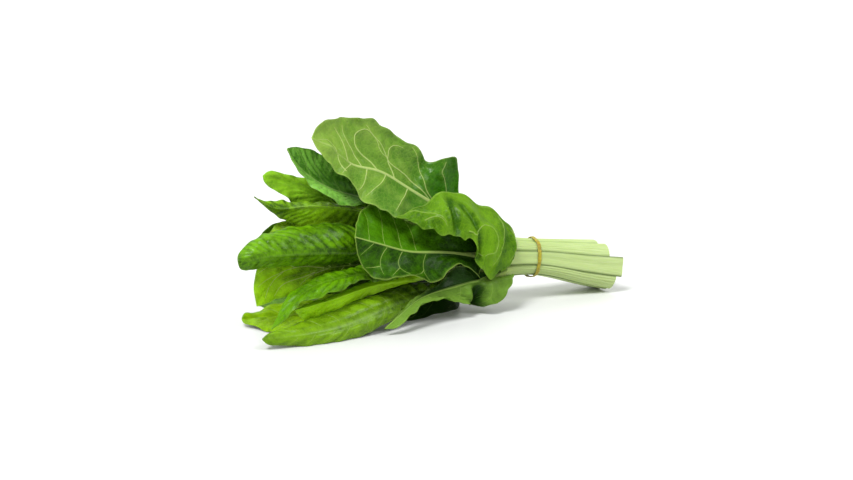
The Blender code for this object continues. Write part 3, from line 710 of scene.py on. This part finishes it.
grow_leaf(
    "leaf_crown", ring="outer", turn=350, cut=160,
    midrib=[(53, -2, 62), (32, 2, 74), (4, 4, 91), (-24, 4, 110), (-46, 2, 123), (-70, -2, 131),
            (-88, -6, 145), (-107, -10, 157)],
    right=[(36, -2, 66), (-4, -12, 79), (-40, -26, 89), (-56, -26, 99), (-67, -22, 103), (-71, -17, 113),
           (-82, -14, 125), (-92, -12, 134), (-102, -11, 147)],
    left=[(33, 8, 90), (32, 9, 118), (26, 6, 129), (15, 8, 126), (6, 15, 125), (-4, 13, 137),
          (-17, 13, 145), (-29, 13, 153), (-42, 11, 163), (-66, 8, 168), (-96, -2, 167)],
    bulge=dict(right=(-0.03, -0.05, -0.05), left=(0.0, 0.05, 0.08)),
    crimp=1.6, wrinkles=(10, 0.3), cushions=[(0.9, 0.02, 6.5, -2.8), (0.8, -0.3, 8, -1.6)], rows=150,
    rib_back=0.85, rib_end=0.74, vein_back=1.0, edge=2.5,
    tone=dict(right=(0.1, 0.0, 0.1, 0.5, 1.0), left=(-0.2, -0.4, 0.25, 0.5, 0.95)),
    veins=[
        [(760, 100), (790, -160), (815, -400), (857, -740)],
        [(620, -30), (660, -160), (710, -270), (745, -420), (755, -550), (750, -700), (723, -780),
         (695, -750), (657, -660), (620, -470), (585, -420)],
        [(310, -20), (377, -150), (460, -260), (530, -290), (567, -330), (607, -520), (650, -670),
         (687, -740), (720, -860)],
        [(520, -20), (550, -200), (575, -320), (588, -520), (590, -680), (570, -800), (545, -830)],
        [(200, -20), (260, -420), (300, -540), (327, -600), (335, -720), (343, -880)],
        [(260, -10), (340, -140), (377, -320), (427, -620), (463, -800), (513, -920)],
        [(440, 10), (460, 300), (485, 580), (507, 850)],
        [(310, 10), (335, 280), (353, 620), (370, 850)],
        [(670, 10), (672, 300), (683, 680), (700, 880)],
        [(570, 20), (592, 320), (630, 620), (650, 800)],
        [(760, 50), (785, 450), (800, 920)],
        [(785, 660), (830, 360), (845, 50), (870, -200), (915, -260), (965, -100)],
        [(700, -20), (760, -300), (800, -520), (820, -800)],
        [(170, 20), (200, 400), (230, 800)],
        [(100, -20), (130, -400), (160, -820)],
    ],
    gloss=0.25, blister=1.8, vein_front=0.55, seed=11,
    colours=greens(front_dark=(30, 110, 2), front_light=(90, 220, 3), back_dark=(25, 130, 1),
                   back_light=(225, 370, 50), vein=(400, 520, 150)))

# The folded leaf at the neck
# A short leaf that lies folded like a saddle over the neck of the bunch, its back outwards. A sharp
# pleat parts its dull left facet from the bright right one.
grow_leaf(
    "leaf_saddle", ring="outer", turn=34, cut=166,
    midrib=[(70, -12, 56), (58, -12, 78), (36, -14, 91), (12, -16, 103), (-14, -23, 96), (-44, -34, 91)],
    right=[(68, -26, 42), (52, -32, 35), (40, -36, 32), (28, -40, 48), (22, -42, 66), (4, -42, 72),
           (-19, -41, 80), (-32, -38, 87)],
    left=[(63, -8, 68), (38, -10, 82), (14, -12, 93), (-13, -20, 90)],
    bulge=dict(right=(-0.25, -0.25, -0.1), left=-0.1),
    crimp=2.4, knobs=(1.3, 5), rib_show=0.15, vein_back=0.45, wrinkles=(8, 0.4), rows=180,
    tone=dict(right=(-0.05, 0.2, 0.5, 0.5, 0.4, 0.15, 0.15), left=(0.1, 0.15, 0.2, 0.2, 0.3)),
    pleats=(("right", 0.64, 0.69, 0.01, 0.08, -4.5), ("right", 0.605, 0.655, 0.022, 0.016, 3.5),
            ("right", 0.62, 0.44, 0.04, 0.035, 3.5), ("right", 0.36, 0.36, 0.05, 0.04, -2.5),
            ("right", 0.2, 0.27, 0.03, 0.03, 2.0)),
    veins=[
        [(967, 50), (920, 20), (883, 60), (833, 250), (780, 360), (733, 500), (707, 750)],
        [(830, 680), (790, 560), (755, 520), (725, 620), (710, 830)],
        [(583, 880), (545, 860), (500, 720), (440, 500), (380, 380), (330, 360), (307, 460), (317, 620),
         (370, 770), (430, 880), (490, 930)],
        [(200, 20), (220, 300), (270, 620), (330, 860)],
        [(80, 20), (100, 350), (130, 700), (180, 900)],
        [(250, -20), (300, -400), (360, -800)],
        [(450, -20), (500, -400), (560, -800)],
        [(650, -20), (700, -400), (770, -800)],
    ],
    blister=1.7, vein_front=0.55, seed=12,
    colours=greens(front_dark=(30, 110, 2), front_light=(80, 200, 3), back_dark=(18, 75, 1),
                   back_light=(165, 350, 9)))

# The cupped leaf
# A dark leaf in front, hollow like a hand, that turns its inner face outwards. Its thin rib and side
# veins are pale. Its stalk runs along the front of the bunch.
grow_leaf(
    "leaf_cupped", ring="outer", turn=79, cut=177, face_out=True,
    midrib=[(42, -24, 48), (26, -27, 51), (-3, -31, 57), (-33, -37, 62), (-56, -40, 70), (-72, -42, 76),
            (-83, -42, 80)],
    right=[(36, -22, 59), (14, -24, 73), (-7, -21, 77), (-29, -14, 84), (-49, -12, 97), (-63, -16, 98),
           (-77, -32, 90)],
    left=[(35, -32, 32), (16, -38, 46), (-4, -45, 42), (-13, -49, 37), (-39, -53, 46), (-56, -53, 45),
          (-70, -52, 47), (-80, -50, 57), (-83, -46, 70)],
    bulge=(-0.1, -0.15, -0.12), crimp=1.3, rows=130,
    # Painted light lightens its upper half, which the crown leaf and the leaf folded over the neck shade.
    # Painted shade keeps the hollow near its base and its lower half dark.
    edge=3, tone=dict(right=(-0.2, 0.1, 0.7, 1.0, 0.6), left=(-0.1, -0.1, 0.0, 0.2, 0.2)),
    rib_front=0.6,
    veins=[
        [(760, -30), (768, -350), (752, -630), (735, -820)],
        [(760, -600), (800, -720), (840, -900)],
        [(645, -30), (657, -380), (640, -660), (600, -920)],
        [(645, -620), (670, -780), (690, -920)],
        [(463, -20), (487, -280), (497, -620), (483, -930)],
        [(494, -550), (530, -760), (570, -920)],
        [(775, 20), (700, 450), (677, 770), (687, 930)],
        [(640, 40), (587, 500), (587, 800), (600, 940)],
        [(900, 20), (823, 450), (777, 730), (783, 920)],
        [(530, 50), (490, 480), (490, 820), (510, 950)],
        [(860, -20), (880, -400), (900, -800)],
    ],
    gloss=0.12, blister=1.3, vein_front=0.55, vein_back=0.9, seed=13,
    colours=greens(front_dark=(6, 25, 1), front_light=(55, 180, 2), back_dark=(40, 120, 6),
                   back_light=(120, 220, 20)))

# The ruffled leaf
# A small leaf low down at the neck: a pale strip that runs down to the table, a deep fold darkened
# with painted shade, and a round grey-green lobe beside the stalks.
grow_leaf(
    "leaf_ruffled", ring="outer", turn=124, cut=170,
    midrib=[(59, -22, 31), (40, -28, 29), (16, -34, 28), (-8, -40, 26), (-30, -48, 23), (-48, -55, 15),
            (-65, -60, 6)],
    right=[(64, -31, 40), (62, -36, 33), (58, -38, 21), (48, -39, 11), (38, -38, 8), (30, -33, 8),
           (16, -41, 13), (-4, -47, 21), (-22, -52, 22), (-38, -58, 17), (-54, -62, 7)],
    left=[(55, -22, 37), (40, -25, 34), (29, -28, 39), (18, -30, 43), (7, -31, 40), (-3, -33, 32),
          (-21, -41, 28), (-37, -48, 23), (-50, -54, 15)],
    crimp=2.0, wrinkles=(7, 0.4), rib_show=0.2, vein_back=0.12, rows=200,
    # Painted shade: the dark stretch of its left half, its underside near the table, and the deep pleat
    # hollow.
    tone=dict(right=(0.6, 0.6, 0.9, 0.9, 1.0), left=(0.4, -0.6, -0.8, 0.4, 1.0)),
    pleats=(("right", 0.235, 0.405, 0.03, 0.03, 12.0), ("right", 0.175, 0.355, 0.06, 0.014, -2.5),
            ("right", 0.29, 0.44, 0.012, 0.06, -3.5)),
    side_veins=3, vein_front=0.05, gloss=0.1, blister=0.6, seed=14,
    colours=greens(front_dark=(8, 30, 1), front_light=(80, 200, 4), back_dark=(12, 40, 4),
                   back_light=(130, 250, 28)))

# The long leaf in front
# A long tender leaf that lies on the table along the front of the bunch, arched and glossy, its veins
# sunk in. Like all leaves it is held by nothing but the band round its stalk.
grow_leaf(
    "leaf_front_low", ring="outer", turn=169, cut=166, face_out=True,
    midrib=[(16, -20, 19), (-11, -29, 22), (-39, -40, 21), (-65, -49, 18), (-98, -57, 12), (-130, -61, 10),
            (-151, -61, 9), (-169, -58, 9)],
    right=[(4, -10, 25), (-10, -12, 28), (-30, -15, 28), (-53, -22, 23), (-86, -27, 14), (-120, -36, 7),
           (-145, -44, 7), (-161, -51, 10)],
    left=[(-13, -33, 17), (-39, -42, 11), (-61, -50, 7), (-80, -55, 2), (-108, -59, -1), (-138, -60, 0),
          (-156, -59, 3), (-165, -60, 5)],
    bulge=dict(right=(0.05, 0.28, 0.4, 0.36), left=(0.1, 0.18, 0.15)), waves=dict(right=(1.5, 4, 0.2)),
    wrinkles=(13, 1.0), rows=130, soft_rib=70, rib_front=0.04, rib_bare=3, vein_front=0.2,
    tone=(-0.3, 0.0, 0.6, 0.8, 0.8), side_veins=10, gloss=0.3, blister=1.4, seed=15,
    colours=greens(BRIGHT_GREEN, front_dark=(8, 35, 1)))

# The leaf folded lengthwise
# A thick leaf folded along its rib into a fat, puckered roll. Its tip hangs down over the leaves
# below, and its stalk runs inside the bunch.
grow_leaf(
    "leaf_folded", ring="inner", turn=115, cut=158, face_out=True,
    midrib=[(-29, -25, 41), (-52, -30, 44), (-75, -36, 46), (-96, -40, 46), (-121, -44, 42),
            (-139, -46, 31), (-157, -47, 13)],
    right=[(-47, -18, 45), (-67, -18, 45), (-87, -22, 44), (-109, -26, 41), (-128, -30, 35),
           (-142, -36, 26)],
    left=[(-55, -36, 39), (-78, -44, 44), (-99, -51, 40), (-120, -54, 37), (-135, -54, 33),
          (-148, -52, 21)],
    bulge=dict(right=(0.2, 0.32, 0.28), left=(0.1, 0.2, 0.2)),
    waves=dict(right=(1.5, 4, 0.1), left=(1.0, 5, 0.3)),
    wrinkles=(8, 1.1), rows=180, soft_rib=40, rib_front=0.06, rib_bare=3, vein_front=0.1,
    tone=(0.0, 0.1, 0.3, 0.45, 0.9), side_veins=11, gloss=0.12, blister=1.6, seed=16,
    colours=greens(MID_GREEN, front_dark=(8, 35, 1), front_light=(100, 270, 1)))

# The rolled leaf
# A narrow young leaf between the folded leaf and the long one, its margins rolled in. Its stalk is
# the innermost one.
grow_leaf(
    "leaf_rolled", ring="centre", turn=150, cut=166, face_out=True,
    midrib=[(-8, -20, 33), (-29, -25, 34), (-52, -29, 35), (-71, -33, 34), (-90, -37, 31), (-114, -42, 28),
            (-137, -46, 26)],
    right=[(-28, -19, 37), (-48, -20, 36), (-66, -21, 33), (-85, -24, 27), (-107, -30, 25),
           (-125, -38, 26)],
    left=[(-52, -30, 30), (-71, -33, 26), (-90, -36, 22), (-108, -39, 18), (-126, -43, 16)],
    bulge=dict(right=(0.15, 0.25, 0.2), left=(0.0, -0.05, -0.05)), waves=dict(left=(1.0, 3, 0.3)),
    wrinkles=(8, 0.6), rib_front=0.06, rib_bare=4, vein_front=0.1,
    # Painted light: its green is lighter than its own, because it lies in the shade of the leaves around
    # it.
    tone=(0.8, 1.0, 1.0), side_veins=9,
    gloss=0.2, blister=1.4, seed=17,
    colours=greens(BRIGHT_GREEN, front_light=(340, 680, 8)))

# The low leaf behind
# A leaf that lies on the table under the others. Only its light tip shows at the front, and the
# shaded rim of its base. Its stalk runs inside the bunch.
grow_leaf(
    "leaf_low_tip", ring="inner", turn=166, cut=160, face_out=True,
    midrib=[(36, -5, 25), (14, -5, 22), (-14, -4, 19), (-38, -2, 18), (-65, 3, 15), (-95, 8, 9),
            (-124, 12, 5), (-143, 15, 5), (-160, 18, 5)],
    right=[(30, 4, 30), (6, 8, 28), (-30, 10, 26), (-60, 16, 25), (-88, 24, 15), (-118, 30, 11),
           (-139, 26, 9), (-151, 22, 9), (-157, 20, 9)],
    left=[(38, -7, 10), (30, -8, 1), (12, -14, -1), (-4, -19, -1), (-24, -28, 0), (-46, -27, 5),
          (-72, -18, 8), (-106, -20, 5), (-136, -19, 2), (-149, -10, 1), (-155, 2, 3), (-160, 11, 3)],
    bulge=(0.0, 0.08, 0.08), waves=dict(right=(2.0, 4, 0.0), left=(1.0, 4, 0.4)),
    # Painted shade: its base is dark, in its profile and in its dark greens, where it lies under the bunch.
    wrinkles=(7, 0.5), tone=(-0.6, -0.6, 0.0, 0.6, 0.8), side_veins=11, gloss=0.12, seed=18,
    colours=greens(BRIGHT_GREEN, front_dark=(8, 30, 1), front_light=(220, 420, 3), back_dark=(10, 40, 1)))

# The broad leaf
# A broad smooth leaf with a pale rib that leaves room for its branching veins, behind the blistered
# one. Its stalk runs inside the bunch.
grow_leaf(
    "leaf_broad", ring="inner", turn=217, cut=168,
    midrib=[(-11, 2, 40), (-34, 2, 43), (-61, 1, 45), (-89, -2, 46), (-114, -6, 45), (-137, -9, 42),
            (-150, -11, 34), (-157, -12, 23)],
    right=[(-28, 6, 49), (-49, 8, 60), (-76, 8, 72), (-113, 4, 82), (-128, 1, 88), (-142, -4, 82),
           (-154, -10, 59), (-159, -12, 42)],
    left=[(-30, 0, 36), (-54, -2, 30), (-81, -4, 26), (-109, -7, 24), (-129, -9, 28), (-145, -11, 25)],
    bulge=dict(right=(0.0, 0.08, 0.08), left=(0.0, 0.05, 0.05)), waves=dict(left=(1.5, 4, 0.2)),
    # Painted shade darkens its base, between the leaves around it, and painted light lightens its green,
    # which lies in their shade.
    rib_front=0.2, vein_front=0.9, tone=(-0.3, -0.3, 0.0, 0.6, 1.0),
    veins=[
        [(540, 20), (637, 120), (707, 170), (800, 240), (867, 420), (910, 670)],
        [(600, -50), (690, -160), (800, -280), (880, -720)],
        [(760, 200), (847, 100), (930, -400)],
        [(507, -20), (623, -130), (710, -420)],
        [(700, 180), (750, 450), (813, 660), (860, 880)],
        [(120, 20), (180, 400), (240, 850)],
        [(250, 20), (310, 400), (370, 850)],
        [(380, 20), (440, 400), (500, 850)],
        [(500, 20), (570, 400), (630, 850)],
        [(620, 110), (670, 450), (730, 870)],
        [(150, -20), (220, -400), (280, -800)],
        [(300, -20), (360, -400), (420, -800)],
        [(420, -20), (490, -400), (560, -800)],
    ],
    vein_back=0.9, seed=19,
    colours=greens(BRIGHT_GREEN, front_dark=(12, 45, 1), front_light=(320, 620, 10), vein=(460, 600, 170)))

# The blistered leaf
# The fat leaf that reaches furthest out. Its thick blade is blistered and wrinkled, and its veins are
# sunk in. Its stalk runs inside the bunch.
grow_leaf(
    "leaf_blistered", ring="inner", turn=63, cut=172, face_out=True,
    midrib=[(-25, -20, 57), (-49, -23, 60), (-77, -26, 62), (-104, -28, 65), (-134, -29, 67),
            (-157, -27, 67), (-175, -22, 62)],
    right=[(-46, -16, 67), (-71, -12, 81), (-93, -12, 86), (-114, -11, 86), (-131, -11, 85),
           (-149, -11, 82), (-166, -15, 75), (-174, -18, 68)],
    left=[(-45, -14, 52), (-72, -13, 52), (-98, -14, 52), (-129, -16, 55), (-154, -18, 56), (-166, -19, 56),
          (-173, -21, 58)],
    bulge=dict(right=(0.15, 0.22, 0.22), left=0.1), waves=dict(right=(1.0, 5, 0.0)),
    wrinkles=(7, 0.75), rows=190, soft_rib=60, rib_front=0.04, rib_bare=3, vein_front=0.08,
    tone=dict(right=(-0.1, 0.05, 0.35), left=(0.05, 0.15, 0.3)), side_veins=13,
    gloss=0.25, blister=1.4, seed=20,
    colours=greens(MID_GREEN, front_dark=(12, 45, 1), front_light=(140, 350, 2)))

# The twisted leaf
# A dark, wrinkled leaf that lies over the blistered one and twists to a thin tip. Its stalk runs
# inside the bunch.
grow_leaf(
    "leaf_twisted", ring="inner", turn=12, cut=170,
    midrib=[(-23, -5, 77), (-42, -6, 86), (-65, -8, 94), (-91, -9, 99), (-118, -10, 101), (-139, -10, 102),
            (-156, -8, 113)],
    right=[(-40, -2, 88), (-61, 0, 94), (-88, 0, 101), (-114, -1, 103), (-136, -3, 107), (-147, -5, 108)],
    left=[(-42, -6, 79), (-64, -5, 80), (-87, -4, 81), (-112, -4, 82), (-130, -6, 91), (-144, -8, 101)],
    bulge=-0.1, waves=dict(left=(0.8, 4, 0.0)),
    wrinkles=(8, 0.9), rows=140, rib_front=0.05, rib_bare=3, vein_front=0.1,
    tone=(-0.1, 0.0, 0.2, 0.5, -0.1, 0.2), side_veins=10, blister=1.5, seed=21,
    colours=greens(DARK_GREEN, front_dark=(12, 50, 1), front_light=(250, 520, 8)))

# The bright leaf
# A young bright leaf above the twisted one, puckered and tender. Its stalk runs inside the bunch.
grow_leaf(
    "leaf_bright", ring="inner", turn=320, cut=164,
    midrib=[(-18, 8, 74), (-34, 13, 84), (-59, 16, 95), (-90, 18, 104), (-116, 18, 115), (-140, 16, 124)],
    right=[(-31, 20, 93), (-52, 24, 108), (-78, 24, 116), (-101, 22, 118), (-122, 20, 124),
           (-134, 18, 127)],
    left=[(-34, 12, 78), (-56, 13, 79), (-83, 13, 83), (-110, 12, 94), (-123, 12, 106), (-134, 14, 114),
          (-139, 15, 119)],
    bulge=0.1, waves=dict(left=(1.0, 4, 0.0)),
    wrinkles=(7, 0.9), rows=140, soft_rib=30, rib_front=0.04, rib_bare=3, vein_front=0.08,
    tone=(0.3, 0.65, 0.8), side_veins=9, gloss=0.2, blister=1.6, seed=22,
    colours=greens(BRIGHT_GREEN, front_light=(250, 530, 20)))

# The blue-green leaf
# A dark leaf below the crown leaf, folded along its rib. Painted shade darkens its upper half,
# which faces down, and a painted bluish reflection lightens its lower half, which faces up. Its
# stalk runs along the back of the bunch.
grow_leaf(
    "leaf_blue_green", ring="outer", turn=304, cut=162,
    midrib=[(25, 10, 68), (-13, 9, 85), (-55, 4, 100), (-81, 0, 109), (-101, -2, 120), (-116, -1, 134),
            (-124, 1, 148)],
    right=[(-9, 18, 95), (-40, 18, 113), (-64, 16, 127), (-84, 13, 135), (-100, 9, 143), (-114, 5, 148)],
    left=[(-14, 7, 82), (-43, 2, 95), (-57, -3, 98), (-78, -14, 99), (-94, -18, 108), (-109, -14, 119),
          (-120, -6, 135)],
    bulge=dict(right=(-0.05, -0.1, -0.1), left=0.0), waves=dict(right=(1.5, 4, 0.0)),
    wrinkles=(6, 1.3), rib_front=0.4, rib_bare=4, vein_front=0.2,
    # Painted shade on the upper, right half, which faces down; a painted bluish reflection on the lower,
    # left half, which faces up.
    tone=dict(right=(-0.1, 0.0, 0.2), left=(0.35, 0.6, 0.6)), side_veins=10,
    gloss=0.25, blister=1.5, seed=23,
    colours=greens(DARK_GREEN, front_dark=(25, 110, 3), front_light=(170, 410, 50)))

# The three leaves at the back
# Full-grown leaves that fill the far side of the bunch, their backs with raised veins outwards. The
# lowest lies on the table.
BACK_LEAF = dict(bulge=(0.0, -0.05, -0.05), rows=90)
grow_leaf(
    "leaf_back_low", ring="outer", turn=214, cut=167,
    midrib=[(34, 10, 24), (0, 22, 12), (-40, 34, 4), (-80, 41, 2), (-115, 42, 4), (-138, 40, 9)],
    right=[(4, 40, 13), (-40, 66, 7), (-80, 74, 5), (-115, 62, 8)],
    left=[(0, 8, 9), (-40, 4, 3), (-80, 8, 1), (-115, 22, 3)],
    waves=dict(right=(3.0, 4, 0.1), left=(0.8, 4, 0.1)),
    side_veins=10, seed=24, colours=MID_GREEN, **BACK_LEAF)
grow_leaf(
    "leaf_back_middle", ring="outer", turn=259, cut=163,
    midrib=[(38, 19, 36), (0, 36, 34), (-40, 50, 36), (-80, 54, 40), (-120, 50, 47), (-146, 42, 54)],
    right=[(0, 40, 52), (-40, 56, 68), (-80, 58, 76), (-118, 50, 74)],
    left=[(0, 34, 22), (-40, 50, 15), (-80, 58, 14), (-118, 54, 26)],
    waves=dict(right=(3.0, 4, 0.3), left=(3.0, 4, 0.6)),
    side_veins=10, seed=25, colours=DARK_GREEN, **BACK_LEAF)
grow_leaf(
    "leaf_back_top", ring="inner", turn=268, cut=158,
    midrib=[(38, 14, 48), (0, 30, 60), (-40, 38, 74), (-75, 38, 88), (-104, 32, 101)],
    right=[(0, 27, 78), (-35, 32, 100), (-72, 32, 110)],
    left=[(0, 35, 53), (-40, 46, 53), (-76, 47, 64)],
    waves=dict(right=(2.5, 3, 0.3), left=(2.5, 3, 0.6)),
    side_veins=9, seed=26, colours=MID_GREEN, **BACK_LEAF)

# The rubber band
# An ochre rubber band, stretched once round the stalks, holds the bunch. It follows the outermost
# stalks and bridges the hollows between them.
BAND_X = 97.0
BAND_LEAN = 0.12
BAND_WIDTH = 3.2
BAND_THICKNESS = 0.9
BAND_REACH = 4
BAND_STEPS = 180
BAND_SIDES = 16
SMOOTH_STEPS = 4
SMOOTH_REACH = 2.0


def band_ring(outline):
    """The band's skin: it lies on the outermost place of the stalks in each direction, smoothed.

    Its section is a flat oval: along = w/2 cos(a)^0.5, out = t/2 (1 + sin(a)^0.7), signs kept. It
    leans along the bunch with its height.
    """
    turn = np.linspace(0, 2 * np.pi, BAND_STEPS, endpoint=False)
    out = np.stack([np.zeros(BAND_STEPS), -np.sin(turn), np.cos(turn)], axis=1)
    carry = outline[np.argmax(outline @ out.T, axis=0)]
    steps = np.arange(-SMOOTH_STEPS, SMOOTH_STEPS + 1)
    weights = np.exp(-0.5 * (steps / SMOOTH_REACH) ** 2)
    weights /= weights.sum()
    smooth = sum(weight * np.roll(carry, step, axis=0) for step, weight in zip(steps, weights))
    angle = np.linspace(0, 2 * np.pi, BAND_SIDES, endpoint=False)
    along = BAND_WIDTH / 2 * np.sign(np.cos(angle)) * np.abs(np.cos(angle)) ** 0.5
    height = BAND_THICKNESS / 2 * (1 + np.sign(np.sin(angle)) * np.abs(np.sin(angle)) ** 0.7)
    ring = smooth[None] + out[None] * height[:, None, None]
    ring[..., 0] = BAND_X + along[:, None] + BAND_LEAN * (ring[..., 2] - BUNCH_Z[1])
    return ring


near_band = []
for rows in stalks:
    line = rows[..., 0]
    for x in (BAND_X - BAND_REACH, BAND_X, BAND_X + BAND_REACH):
        k = np.clip((line > x).sum(0) - 1, 0, len(rows) - 2)
        columns = np.arange(rows.shape[1])
        one, two = rows[k, columns], rows[k + 1, columns]
        share = ((one[:, 0] - x) / (one[:, 0] - two[:, 0]))[:, None]
        near_band.append(one + share * (two - one))
ring = band_ring(np.concatenate(near_band))
band_mesh = bpy.data.meshes.new("ochre_band")
at = np.arange(BAND_SIDES * BAND_STEPS).reshape(BAND_SIDES, BAND_STEPS)
closed = np.pad(at, (0, 1), mode="wrap")
band_mesh.from_pydata(((ring.reshape(-1, 3) - MIDDLE) * MM).tolist(), [], grid_quads(closed).tolist())
band_mesh.shade_smooth()
band_skin, tree, shader = new_material("ochre_band")
space = add_node(tree, "TexCoord", {})["Object"]
cloud = add_node(tree, "TexNoise", {"Vector": space, "Scale": 400, "Detail": 4})["Fac"]
tint = add_node(tree, "ValToRGB", {"Fac": cloud})["Color"]
for stop, place, ochre in zip(tint.node.color_ramp.elements, (0.3, 0.7),
                              ((0.22, 0.17, 0.004, 1), (0.42, 0.36, 0.012, 1))):
    stop.position = place
    stop.color = ochre
feed(tree, shader, {"Base Color": tint, "Roughness": 0.5, "Subsurface Weight": 0.2,
                    "Subsurface Scale": 1.0 * MM})
band_mesh.materials.append(band_skin)
band = add("ochre_band", band_mesh)
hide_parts("rubber_band")
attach(band, "root")
